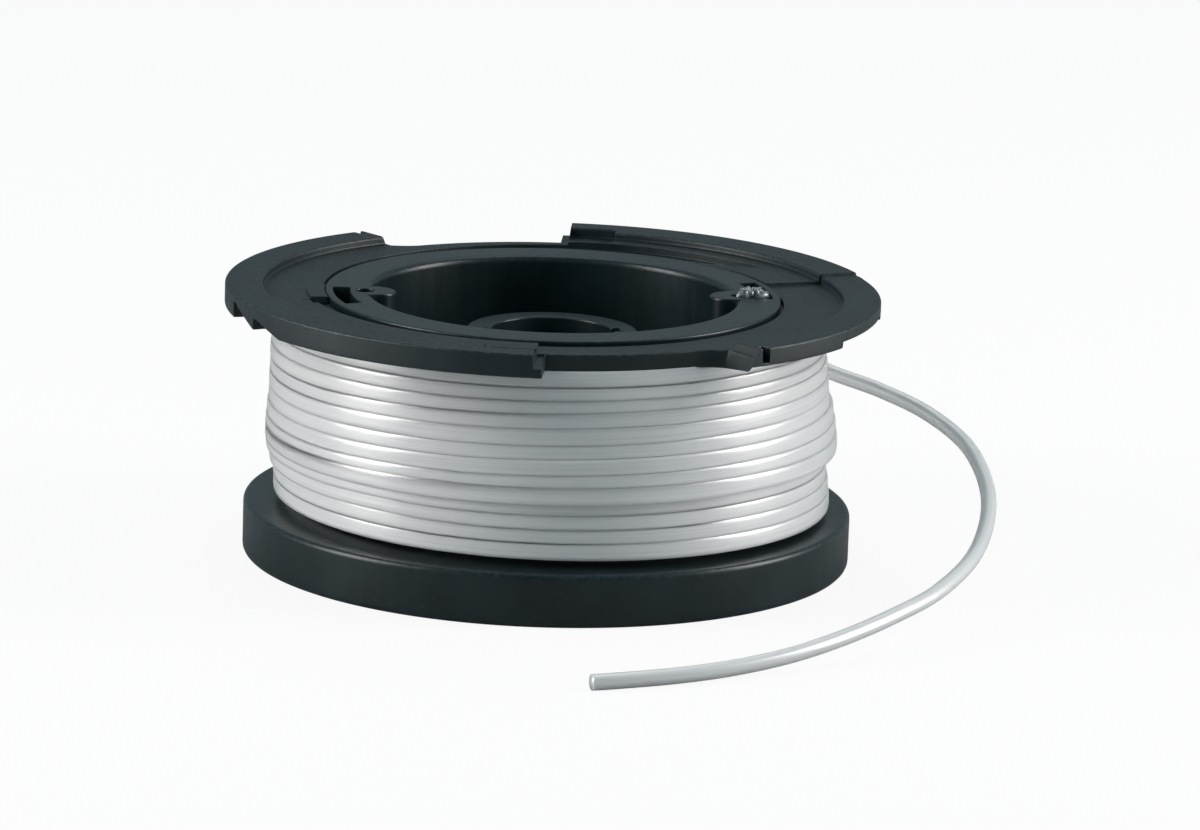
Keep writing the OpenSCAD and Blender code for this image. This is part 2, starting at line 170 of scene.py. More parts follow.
def windingCurve(v):
    # helix: radius and height are read off the knots at each turn, and the angle runs back steadily.
    # In the outer layer a row keeps its height round the front, leans to the right and climbs at the
    # back. The second value is 1 in that layer and 0 inside and where the free end leaves.
    hidden = np.arange(v["firstTurn"], outerFrom, 1 / v["ringsHidden"])
    shown = np.arange(outerFrom, windingKnots[-1, 0], 1 / v["ringsShown"])
    turns = np.concatenate([hidden, shown])
    height = np.interp(turns, windingKnots[:, 0], windingKnots[:, 2])
    radius = np.interp(turns, windingKnots[:, 0], windingKnots[:, 1])
    left = windingKnots[-1, 0] - turns
    angle = v["exitAngle"] + 360 * left
    whole = np.floor(left + 0.5)
    climb = np.clip((left - whole) / v["climbShare"] + 0.5, 0, 1)
    row = whole - 0.5 + climb * climb * (3 - 2 * climb)
    rowHeight = np.interp(row, np.arange(len(rowFronts)) - 0.5, rowFronts)
    outer = np.clip((turns - outerFrom) * v["settle"], 0, 1)
    ends = outer * np.clip(left * v["settle"], 0, 1)
    rightness = np.sin(np.radians(angle))
    rowRadius = 0.5 * (1 - rightness) * np.interp(rowHeight, rowHeights, leftRadii)
    rowRadius += 0.5 * (1 + rightness) * np.interp(rowHeight, rowHeights, rightRadii)
    lean = ends * np.interp(rowHeight, tiltHeights, rowTilts) * rightness
    radius = radius + (rowRadius - radius) * outer
    height = height + (rowHeight + lean - height) * outer
    slow, quick, upDown = v["wander"]
    wander = np.sin(2 * np.pi * slow * turns + 1.0) + 0.5 * np.sin(2 * np.pi * quick * turns)
    nest = np.cos(np.pi * np.floor(left))
    radius = radius + v["ripple"] * ends * (wander - 0.5)
    radius = radius + v["nesting"] * ends * nest * np.sin(np.pi * left) ** 2
    height = height + v["drift"] * ends * np.sin(2 * np.pi * upDown * turns + 2.0)
    return at(radius, angle, height), ends


def lineRoute(v):
    # the whole length of line in mm, from the bottom of the anchor hole to the cut end, and how square
    # its section is at each point, from 0 to 1 (round to pressed)
    r, past, rise = np.array(anchorRoute).T
    inner = smoothThrough(at(r, v["anchorAngle"] + past, v["ringTop"] + rise), 4)
    wound, pressed = windingCurve(v)
    a = math.radians(v["exitAngle"])
    leave = np.array([-math.cos(a), -math.sin(a), 0]) * v["diameter"]
    tail = smoothThrough(np.vstack([wound[-1] + leave, wound[-1] + 2 * leave, tailRoute]), 8)
    square = np.concatenate([np.zeros(len(inner)), pressed, np.zeros(len(tail))])
    return np.vstack([inner, wound, tail]), square


def sweepTube(name, route, pressed, v):
    # ring of the tube: point of the route + radius * (cos s * side + sin s * over), side being level.
    # Pressed rows take a superellipse section, tipped so that their faces look up a little, and the
    # chewed inner end has waves in its radius.
    radius, sides = v["diameter"] / 2 * mm, v["sides"]
    tangent = np.gradient(route, axis=0)
    tangent /= np.linalg.norm(tangent, axis=1)[:, None]
    a = math.radians(v["anchorAngle"])
    lean = tangent + 0.001 * np.array([math.sin(a), -math.cos(a), 0])
    side = np.cross([0, 0, 1], lean)
    side -= (side * tangent).sum(1)[:, None] * tangent
    side /= np.linalg.norm(side, axis=1)[:, None]
    over = np.cross(tangent, side)
    along = np.concatenate([[0], np.cumsum(np.linalg.norm(np.diff(route, axis=0), axis=1))])
    s = 2 * np.pi * np.arange(sides) / sides
    n = v["squareness"]
    square = (np.abs(np.cos(s)) ** n + np.abs(np.sin(s)) ** n) ** (-1 / n)
    grow = 1 + (square - 1)[None] * pressed[:, None]
    u = along[:, None] / mm
    waves = np.sin(3 * s + 5.1 * u) + 0.8 * np.sin(5 * s - 9.3 * u + 1)
    waves = waves + 0.7 * np.sin(2 * s + 14.0 * u + 2)
    grow = grow + v["chewed"] * (waves - 0.8) * np.exp(-(u / v["chewedLength"]) ** 6)
    tilt = np.radians(v["faceTilt"]) * pressed[:, None]
    face = np.cos(tilt) * side + np.sin(tilt) * over
    edge = np.cos(tilt) * over - np.sin(tilt) * side
    taller = 1 + v["pressing"] * pressed[:, None]
    rings = route[:, None] + radius * (grow * np.cos(s))[..., None] * face[:, None]
    rings = rings + radius * (taller * grow * np.sin(s))[..., None] * edge[:, None]
    count = len(route)
    i, k = np.meshgrid(np.arange(count - 1), np.arange(sides), indexing="ij")
    here, nextSide = i * sides + k, i * sides + (k + 1) % sides
    quads = np.stack([here, nextSide, nextSide + sides, here + sides], -1).reshape(-1, 4)
    caps = [list(range(sides - 1, -1, -1)), list(range((count - 1) * sides, count * sides))]
    mesh = bpy.data.meshes.new(name)
    mesh.from_pydata(rings.reshape(-1, 3).tolist(), [], quads.tolist() + caps)
    uv = mesh.uv_layers.new(name="along")
    corner = np.zeros(len(mesh.loops) * 2, np.float32)
    u = np.stack([along[i], along[i], along[i + 1], along[i + 1]], -1).reshape(-1)
    w = np.stack([k, k + 1, k + 1, k], -1).reshape(-1) / sides
    corner[:2 * len(u)] = np.stack([u, w], -1).reshape(-1)
    corner[2 * len(u):] = 0.5
    uv.data.foreach_set("uv", corner)
    smooth = np.ones(len(mesh.polygons), bool)
    smooth[-2:] = False
    mesh.polygons.foreach_set("use_smooth", smooth)
    mesh.update()
    normals = np.empty(len(mesh.vertices) * 3)
    mesh.vertices.foreach_get("normal", normals)
    normals = normals.reshape(count, sides, 3)
    radial = rings * [1, 1, 0] / np.linalg.norm(rings[..., :2], axis=-1)[..., None]
    facing = np.clip((normals * radial).sum(-1, keepdims=True), 0, 1)
    radial = radial + [0, 0, math.tan(math.radians(v["lookUp"]))]
    normals = normals + v["evening"] * pressed[:, None, None] * facing * (radial - normals)
    normals /= np.linalg.norm(normals, axis=-1)[..., None]
    mesh.normals_split_custom_set_from_vertices(normals.reshape(-1, 3).tolist())
    return addObject(name, mesh)


lineMm, linePressed = lineRoute(trimmerLine)
lineCentre = lineMm * mm
nylonLine = sweepTube("nylon_line", lineCentre, linePressed, trimmerLine)
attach(nylonLine, "root")
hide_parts("line_inner_layers", "line_winding", "line_tail", "line_anchor_end")


def within(angle, start, end, blend=0.22):
    # 1 between two angles, 0 outside them, with a smooth step as wide as the blend
    away = np.abs((angle - (start + end) / 2 + 180) % 360 - 180)
    t = np.clip(((end - start) / 2 + blend / 2 - away) / blend, 0, 1)
    return t * t * (3 - 2 * t)


def turnAngles(spacing, edges, extra=(), blend=0.22):
    # evenly spaced angles, seven closer ones across each edge, and any extra ones
    across, nearest = blend * np.linspace(-0.62, 0.62, 7), 0.004
    fine = (np.asarray(edges)[:, None] + across[None]).ravel()
    fine = np.concatenate([fine, *extra]) % 360
    even = np.arange(0, 360, spacing)
    clear = np.abs((even[:, None] - fine[None] + 180) % 360 - 180).min(1) > 0.4 * spacing
    angles = np.unique(np.round(np.concatenate([even[clear], fine]), 5))
    return angles[np.diff(angles, append=angles[0] + 360) > nearest]


def roundedProfile(corners, angles):
    # each corner (radius, height, rounding, points, weight of a pale edge mark) becomes a parabola
    # between two points that lie one rounding away along its two sides, or 0.45 of a side where that
    # is less; the pale mark on the rounding is partly abrasion and partly a painted edge highlight
    place = [np.stack(np.broadcast_arrays(r, z, angles)[:2], -1) for r, z, _, _, _ in corners]
    place = np.stack(place, 1)
    toLast, toNext = np.roll(place, 1, 1) - place, np.roll(place, -1, 1) - place
    lastSide = np.linalg.norm(toLast, axis=-1, keepdims=True)
    nextSide = np.linalg.norm(toNext, axis=-1, keepdims=True)
    shorter = 0.45 * np.minimum(lastSide, nextSide)
    stretches, wearAndHighlight = [], []
    for k, (_, _, rounding, points, wearAndHighlightWeight) in enumerate(corners):
        reach = np.minimum(np.broadcast_to(rounding, angles.shape)[:, None], shorter[:, k])
        t = np.linspace(0, 1, points)[None, :, None]
        first = (place[:, k] + toLast[:, k] / np.maximum(lastSide[:, k], 1e-9) * reach)[:, None]
        last = (place[:, k] + toNext[:, k] / np.maximum(nextSide[:, k], 1e-9) * reach)[:, None]
        stretches.append((1 - t) ** 2 * first + 2 * t * (1 - t) * place[:, k, None] + t ** 2 * last)
        wearAndHighlight.append(wearAndHighlightWeight * (4 * t * (1 - t))[0, :, 0])
    return np.concatenate(stretches, 1), np.concatenate(wearAndHighlight)


def turnedSolid(name, profile, angles, wearAndHighlight, more=()):
    # the closed profile carried round the axis; more = closed solids (points, faces) in the same piece
    points = at(profile[..., 0], angles, profile[..., 1])
    n, m = points.shape[:2]
    i, k = np.meshgrid(np.arange(n), np.arange(m), indexing="ij")
    nextI, nextK = (i + 1) % n, (k + 1) % m
    faces = np.stack([i * m + k, nextI * m + k, nextI * m + nextK, i * m + nextK], -1)
    faces = faces.reshape(-1, 4).tolist()
    cloud, wearAndHighlightWeight = points.reshape(-1, 3), np.tile(wearAndHighlight, n)
    for extraPoints, extraFaces in more:
        faces += (np.asarray(extraFaces) + len(cloud)).tolist()
        cloud = np.vstack([cloud, extraPoints])
        wearAndHighlightWeight = np.concatenate([wearAndHighlightWeight, np.zeros(len(extraPoints))])
    mesh = bpy.data.meshes.new(name)
    mesh.from_pydata((cloud * mm).tolist(), [], faces)
    # weight of the pale mark on each rounding: partly abrasion, partly a painted edge highlight
    mesh.attributes.new("wearAndHighlight", "FLOAT", "POINT").data.foreach_set("value", wearAndHighlightWeight.astype(np.float32))
    work = bmesh.new()
    work.from_mesh(mesh)
    bmesh.ops.remove_doubles(work, verts=work.verts, dist=1e-6)
    bmesh.ops.dissolve_degenerate(work, edges=work.edges, dist=1e-7)
    if work.calc_volume(signed=True) < 0:
        bmesh.ops.reverse_faces(work, faces=work.faces)
    work.to_mesh(mesh)
    work.free()
    evenNormals(mesh)
    return addObject(name, mesh)


def evenNormals(mesh):
    # a point's normal is the sum of its faces' normals, each times its area, so that flats stay flat
    count = len(mesh.polygons)
    mesh.polygons.foreach_set("use_smooth", np.ones(count, bool))
    normal, area, total = np.empty(count * 3), np.empty(count), np.empty(count, int)
    mesh.polygons.foreach_get("normal", normal)
    mesh.polygons.foreach_get("area", area)
    mesh.polygons.foreach_get("loop_total", total)
    corner = np.empty(len(mesh.loops), int)
    mesh.loops.foreach_get("vertex_index", corner)
    weighted = np.repeat(normal.reshape(-1, 3) * area[:, None], total, axis=0)
    points = len(mesh.vertices)
    summed = np.stack([np.bincount(corner, weighted[:, k], points) for k in range(3)], -1)
    summed /= np.maximum(np.linalg.norm(summed, axis=1)[:, None], 1e-20)
    mesh.normals_split_custom_set_from_vertices(summed.tolist())


camFlange = {
    # millimetres and degrees; angles are counted from the front, and each lobe repeats 180 degrees on
    "under": 26.75, "land": 28.1, "grooveFloor": 27.6, "ringTop": 28.4,
    "bore": 23.9, "beadBore": 24.4,
    "camRadius": 35.0, "recessRadius": 29.2,
    "lobeStart": 35.0, "lobeStep": 110.0, "pocketStart": 167.5, "lobeEnd": 177.0, "tabEnd": 178.6,
    "rampTop": 29.0, "rampDelay": 0.3,                  # the rim begins this far past the start
    "rampRadii": (31.2, 30.9),                          # its inner side, from start to step
    "raisedFloor": 28.45, "raisedTop": 29.25, "raisedRadius": 30.6,
    "plainRadius": 28.6, "pocketRadius": 32.3,          # the same out of the lobes, in the pocket
    "tabDrop": 0.3, "tabRim": 0.6,                      # the tab is lower, its rim further out
    "shelf": (28.38, 0.9, 0.32),                        # radius, and what lobe and pocket add to it
    "startTurn": (1.4, 0.0), "startLean": (0.6, 2.5),   # of the start face, inside and outside
    "startFade": (31.0, 34.8, 35.5, 38.2),              # where these set in, are whole, are gone
    "flare": 1.5, "flareSpan": 4.5,                     # turn outwards at the recess's end
    "skirt": 0.55,                                      # reach of the recess's wall past the plate
    "slot": (38.26, 39.74, 1.1, 1.55), "slotBlend": 0.12,   # from, to, depth, height
    "ledge": 0.3,                                       # sill's height as a share of the side
    "lifts": ((35.5, 60.0, 0.35), (60.0, 88.5, 1.0)),   # lifted underside: from, to, height
    "liftRadii": (31.5, 29.5), "liftSlope": 0.6,        # where it slopes down to the plate
    "teeth": ((106.5, 1.75, 6.2), (117.0, 1.15, 5.5)),  # from, height, length along the rim
    "toothDepth": 1.4, "toothFlat": 0.8, "toothSpan": 20.0,
    "frontGroove": (283.0, 455.0, 26.3), "frontIn": 0.45,   # from, to, outer radius
    "backGroove": (126.0, 268.0, 28.5), "backEarly": 0.4,
    "backStretch": 38.0, "backOpen": 16.0,              # keeps its radius, and meets the bead
    "backStart": (22.0, 22.8, 24.45),                   # straight side: span, end radius, least
    "grooveEnd": 24.55, "noGroove": (24.9, 25.5),       # radii where one runs out, where none is
    "lug": (268.0, 283.4, 26.3), "lugWidth": 1.1,
    "edge": 0.24,                                       # rounding of the edges that hands meet
    "spacing": 0.36,
}


def flangeProfile(v, angles):
    # radius and height of each corner against the angle; half is the angle within one of two lobes
    half = angles % 180
    start, step, pocket = v["lobeStart"], v["lobeStep"], v["pocketStart"]
    end, tab = v["lobeEnd"], v["tabEnd"]
    plate, ramp = within(half, start, tab), within(half, start + v["rampDelay"], step)
    raised, deep, lip = within(half, step, end), within(half, pocket, end), within(half, end, tab)
    early = within(half, step, pocket)
    flare = v["flare"] * np.clip((half - start + v["flareSpan"]) / v["flareSpan"], 0, 1) ** 2
    flare = flare * (half < start + 1)
    outer = v["recessRadius"] + flare + (v["camRadius"] - v["recessRadius"] - flare) * plate
    floor = v["land"] + (v["raisedFloor"] - v["land"]) * raised
    outFloor = v["land"] + (v["raisedFloor"] - v["land"]) * early
    top = v["land"] + (v["rampTop"] - v["land"]) * ramp + (v["raisedTop"] - v["land"]) * raised
    top = top - v["tabDrop"] * lip
    along = np.clip((half - start) / (step - start), 0, 1)
    spiral = v["rampRadii"][0] + (v["rampRadii"][1] - v["rampRadii"][0]) * along
    plain = v["plainRadius"]
    rim = plain + (spiral - plain) * within(half, start, step) + (v["raisedRadius"] - plain) * early
    rim = rim + (v["pocketRadius"] - plain) * deep + v["tabRim"] * lip
    shelfAt, inLobe, inPocket = v["shelf"]
    shelf = shelfAt + inLobe * within(half, start, pocket) + inPocket * deep

    frontFrom, frontTo, frontRadius = v["frontGroove"]
    backFrom, backTo, backRadius = v["backGroove"]
    lugFrom, lugTo, lugRadius = v["lug"]
    inPlain, outPlain = v["noGroove"]
    front, lug = within(angles, frontFrom, frontTo), within(angles, lugFrom, lugTo)
    back = within(angles, backFrom - v["backEarly"], backTo)
    fadeFront = np.clip((angles - frontFrom) % 360 / (frontTo - frontFrom), 0, 1)
    intoBack = (angles - backFrom) % 360
    before = intoBack > 300     # just ahead of the groove's start
    fadeBack = np.clip((intoBack - v["backStretch"]) / (backTo - backFrom - v["backStretch"]), 0, 1)
    fadeBack = np.where(before, 0, fadeBack)
    # straight side of the back groove's start, between two points given by radius and angle
    span, r1, least = v["backStart"]
    a, r0, sweep = np.radians(np.clip(intoBack, 0, span)), backRadius, math.radians(span)
    straight = r0 * r1 * math.sin(sweep) / (r0 * np.sin(a) + r1 * np.sin(sweep - a))
    straight = np.where(before, backRadius, np.maximum(straight, least))
    frontOut = frontRadius + (v["grooveEnd"] - frontRadius) * fadeFront
    backOut = backRadius + (v["grooveEnd"] - backRadius) * fadeBack
    grooveOut = outPlain + (frontOut - outPlain) * front
    grooveOut = grooveOut + (backOut - outPlain) * back + v["lugWidth"] * lug
    grooveIn = inPlain - v["frontIn"] * front + (straight - inPlain) * back
    grooveIn = grooveIn + (lugRadius - inPlain) * lug
    grooveFloor = floor - (floor - v["grooveFloor"]) * np.maximum(front, back)
    opened = np.maximum(front, within(angles, backFrom + v["backOpen"], backTo))
    beside = floor + (grooveFloor - floor) * opened + (v["ringTop"] - floor) * lug

    lift = sum(h * within(half, a0, a1) for a0, a1, h in v["lifts"])
    tooth = 0
    for first, height, length in v["teeth"]:
        x = np.radians(half - first) * v["camRadius"]
        slope = np.clip((length - x) / (length - v["toothFlat"]), 0, 1)
        tooth = tooth + height * slope * within(half, first, first + v["toothSpan"]) * (x < length)
    low = v["under"] + lift
    edgeLow = np.maximum(low, v["under"] + tooth) - v["skirt"] * (1 - plate)
    slotFrom, slotTo, slotDepth, slotHeight = v["slot"]
    slot = within(half, slotFrom, slotTo, v["slotBlend"])
    ledge = edgeLow + v["ledge"] * (top - edgeLow)
    ledge = ledge + (v["rampTop"] - slotHeight - ledge) * slot
    inset = outer - slotDepth * slot
    toothIn = np.minimum(v["camRadius"] - v["toothDepth"], outer - 0.6)
    liftOut, liftIn = v["liftRadii"]
    edge = v["edge"]
    return [
        (v["beadBore"], beside, 0.05, 2, 0), (grooveIn, beside, 0.08, 3, 0.4),
        (grooveIn, grooveFloor, 0.08, 3, 0), (grooveOut, grooveFloor, 0.12, 3, 0),
        (grooveOut, floor, 0.10, 4, 0.8), (shelf, floor, 0.10, 3, 0.4), (shelf, outFloor, 0.10, 3, 0),
        (rim, outFloor, 0.22, 4, 0), (rim, top, 0.34, 6, 0.7), (inset, top, edge, 5, 1),
        (inset, ledge, 0.06, 2, 0), (outer, ledge, 0.06, 2, 0.5), (outer, edgeLow, 0.2, 4, 0.8),
        (toothIn, edgeLow, 0.08, 2, 0), (toothIn, low, 0.08, 2, 0),
        (np.minimum(liftOut, outer - 0.7), low, 0.3, 2, 0),
        (np.minimum(liftIn, outer - 0.8), v["under"] + v["liftSlope"] * lift, 0.1, 2, 0),
        (np.minimum(liftIn, outer - 0.85), v["under"], 0.1, 2, 0),
        (v["bore"], v["under"], 0.1, 2, 0), (v["bore"], v["grooveFloor"], 0.05, 2, 0),
        (v["beadBore"], v["grooveFloor"] - 0.01, 0.01, 2, 0)]


def flangeAngles(v):
    start, lifts, radius = v["lobeStart"], v["lifts"], v["camRadius"]
    edges = [start, start + v["rampDelay"], v["lobeStep"], v["pocketStart"], v["lobeEnd"], v["tabEnd"]]
    edges += [v["slot"][0], v["slot"][1], lifts[0][1], lifts[1][1]]
    for first, _, length in v["teeth"]:
        edges.append(first)
        edges += [first + math.degrees(reach / radius) for reach in (v["toothFlat"], length)]
    front, back = v["frontGroove"], v["backGroove"]
    whole = [front[0], front[1], back[0] + v["backOpen"], *v["lug"][:2]]
    return turnAngles(v["spacing"], edges + [e + 180 for e in edges] + whole)


def leanStart(v, profile, angles):
    # the start face is turned and leans: its points turn on by (turn + lean * rise) degrees, where turn
    # and lean go from inner to outer value with the radius, and fade to 0 on both sides of the face
    near = np.interp(angles % 180, v["startFade"], [0, 1, 1, 0])[:, None]
    rise = np.clip((profile[..., 1] - v["under"]) / (v["rampTop"] - v["under"]), 0, 1)
    out = np.clip((profile[..., 0] - v["recessRadius"]) / (v["camRadius"] - v["recessRadius"]), 0, 1)
    (turnIn, turnOut), (leanIn, leanOut) = v["startTurn"], v["startLean"]
    turned = turnIn + (turnOut - turnIn) * out + (leanIn + (leanOut - leanIn) * out) * rise
    return angles[:, None] + near * turned


drum = {
    "hubRadius": 9.2, "hubBore": 6.5, "hubTop": 24.4,
    "notchAngle": 98.0, "notchWidth": 1.6, "notchDepth": 0.9, "notchHeight": 3.0,
    "floor": 5.6, "web": 3.4, "underHub": 0.6, "cavityRadius": 19.6, "mouthRound": 0.8,
    "ringTop": 28.4, "beadRadius": 24.3, "beadUnder": 27.6, "neckRadius": 23.8, "shoulder": 26.75,
    "drumRadius": 24.2, "flangeRadius": 32.6, "rimWall": 2.2, "flangeRound": 0.6,
    "anchorAngle": 95.0, "postAt": 18.9, "postRadius": 2.1, "postRound": 0.3,
    "holeAt": 20.1, "holeRadius": 0.95, "holeDepth": 5.0,
    "plainAt": 21.25,                                   # radius on the ring's top where no hole is
    "pocket": (-4.0, 17.0, 21.7, 23.5, 4.4),            # from, to, inner and outer radius, depth
    "saddle": (0.925, 0.7, 20.9),                       # half its width, depth, radius of its middle
    "ribs": 8, "ribThickness": 1.4,
    "spacing": 0.5,
}


def drumProfile(v, angles):
    # the lathe profile of hub, cavity, ring, winding channel and lower flange, with posts, holes and
    # pockets worked in where their angles come
    past = (angles - v["anchorAngle"] + 90) % 180 - 90
    side = np.sin(np.radians(past))
    onPost = np.abs(side) < v["postRadius"] / v["postAt"]
    bulge = np.sqrt(np.maximum(v["postRadius"] ** 2 - (v["postAt"] * side) ** 2, 0))
    wall = np.where(onPost, v["postAt"] * np.cos(np.radians(past)) - bulge, v["cavityRadius"])
    mouth = np.where(onPost, v["postRound"], v["mouthRound"])
    top = v["ringTop"]
    onHole = np.abs(side) < v["holeRadius"] / v["holeAt"]
    holeHalf = np.sqrt(np.maximum(v["holeRadius"] ** 2 - (v["holeAt"] * side) ** 2, 0))
    holeMid = np.where(onHole, v["holeAt"] * np.cos(np.radians(past)), v["plainAt"])
    holeFloor = np.where(onHole, top - v["holeDepth"], top)
    first, last, pocketIn, pocketOut, depth = v["pocket"]
    pocketFloor = top - depth * within(past, first, last, v["spacing"])
    halfWidth, saddleDepth, saddleAt = v["saddle"]
    reach = math.degrees(math.asin(halfWidth / saddleAt))
    saddle = top - saddleDepth * within(angles - v["anchorAngle"], -reach, reach, v["spacing"])
    hub, bore, rimIn = v["hubRadius"], v["hubBore"], v["flangeRadius"] - v["rimWall"]
    notchHalf = math.degrees(v["notchWidth"] / 2 / bore)
    notch = within(angles % 180, v["notchAngle"] - notchHalf, v["notchAngle"] + notchHalf, 1.0)
    notched = bore + v["notchDepth"] * notch
    notchFloor = v["hubTop"] - v["notchHeight"]
    rimRound = v["flangeRound"]
    return [
        (hub, v["hubTop"], 0.28, 4, 0.6), (hub, v["floor"], 0.5, 4, 0), (wall, v["floor"], 1.0, 5, 0),
        (wall, top, mouth, 7, 0.5),
        (holeMid - holeHalf - 0.01, top, 0.12, 3, 0.5), (holeMid - holeHalf, holeFloor, 0.05, 2, 0),
        (holeMid + holeHalf, holeFloor, 0.05, 2, 0), (holeMid + holeHalf + 0.01, saddle, 0.12, 3, 0.5),
        (pocketIn, saddle, 0.15, 3, 0.5), (pocketIn, pocketFloor, 0.2, 2, 0),
        (pocketOut, pocketFloor, 0.2, 2, 0), (pocketOut, top, 0.12, 3, 0.5),
        (v["beadRadius"], top, 0.22, 4, 0.8), (v["beadRadius"], v["beadUnder"], 0.1, 2, 0),
        (v["neckRadius"], v["beadUnder"], 0.1, 2, 0), (v["neckRadius"], v["shoulder"], 0.1, 2, 0),
        (v["drumRadius"], v["shoulder"], 0.1, 2, 0), (v["drumRadius"], v["floor"], 0.2, 2, 0),
        (v["flangeRadius"], v["floor"], rimRound, 7, 0.8), (v["flangeRadius"], 0, rimRound, 6, 0.8),
        (rimIn, 0, 0.2, 3, 0.3), (rimIn, v["web"], 0.4, 3, 0), (hub, v["web"], 0.4, 3, 0),
        (hub, v["underHub"], 0.2, 3, 0), (bore, v["underHub"], 0.2, 3, 0),
        (bore, notchFloor, 0.05, 2, 0), (notched, notchFloor + 0.01, 0.05, 2, 0),
        (notched, v["hubTop"], 0.25, 4, 0.5)]


def drumAngles(v):
    # closer angles round each post, hole, pocket and notch; those of a circle run with its sine
    swing = np.sin(np.linspace(-0.5, 0.5, 37) * np.pi)
    beside = np.array([-1.01, 1.01])
    postReach = np.degrees(np.arcsin(v["postRadius"] / v["postAt"]))
    holeReach = np.degrees(np.arcsin(v["holeRadius"] / v["holeAt"]))
    parts = (postReach * swing * 0.99999, holeReach * swing[::2] * 0.9999,
             postReach * beside, holeReach * beside)
    around = [v["anchorAngle"] + turn + part for turn in (0, 180) for part in parts]
    halfSaddle = math.degrees(math.asin(v["saddle"][0] / v["saddle"][2]))
    notchHalf = math.degrees(v["notchWidth"] / 2 / v["hubBore"])
    edges = [v["anchorAngle"] + v["pocket"][0], v["anchorAngle"] + v["pocket"][1],
             v["anchorAngle"] - halfSaddle, v["anchorAngle"] + halfSaddle,
             v["notchAngle"] - notchHalf, v["notchAngle"] + notchHalf]
    return turnAngles(v["spacing"], edges + [e + 180 for e in edges], around, v["spacing"])


def ribBoxes(v):
    # one box for each rib under the web, from hub to rim wall
    low, high = v["underHub"], v["web"] + 0.3
    inner, outer = v["hubRadius"] - 0.3, v["flangeRadius"] - v["rimWall"] + 0.3
    t = v["ribThickness"] / 2
    box = np.array([[r, s, z] for r in (inner, outer) for s in (-t, t) for z in (low, high)])
    faces = [[0, 1, 3, 2], [4, 6, 7, 5], [0, 4, 5, 1], [2, 3, 7, 6], [0, 2, 6, 4], [1, 5, 7, 3]]
    made = []
    for k in range(v["ribs"]):
        a = 2 * math.pi * (k + 0.5) / v["ribs"]
        x = box[:, 0] * math.cos(a) - box[:, 1] * math.sin(a)
        y = box[:, 0] * math.sin(a) + box[:, 1] * math.cos(a)
        made.append((np.stack([x, y, box[:, 2]], -1), faces))
    return made


drumTurns = drumAngles(drum)
# the second value weights the pale edge mark, partly abrasion and partly a painted edge highlight
drumShape, drumWearAndHighlight = roundedProfile(drumProfile(drum, drumTurns), drumTurns)
body = turnedSolid("drum_moulding", drumShape, drumTurns[:, None], drumWearAndHighlight, ribBoxes(drum))
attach(body, "root")
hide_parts("spool_body")

flangeTurns = flangeAngles(camFlange)
flangeShape, flangeWearAndHighlight = roundedProfile(flangeProfile(camFlange, flangeTurns), flangeTurns)
flangeLeant = leanStart(camFlange, flangeShape, flangeTurns)
flange = turnedSolid("flange_moulding", flangeShape, flangeLeant, flangeWearAndHighlight)
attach(flange, "root")
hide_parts("cam_flange")
print("stage: mouldings", len(body.data.polygons), len(flange.data.polygons))


def newMaterial(name):
    made = bpy.data.materials.new(name)
    made.use_nodes = True
    return made, made.node_tree.nodes, made.node_tree.links


mouldedMarks = {
    # noise scales per metre, and the range of the noise that makes the mask
    "drift": 170, "grainDepth": 0.00004,
    # mask of the pale mark on rounded edges: partly abrasion, partly a painted edge highlight
    "paleWearAndHighlight": 2200, "paleWearAndHighlightRange": (0.42, 0.72),
    "specks": 2600, "specksRange": (0.68, 0.78),
    "streaks": (1500, 1500, 70), "streaksRange": (0.35, 0.65),      # drawn out along Z
}


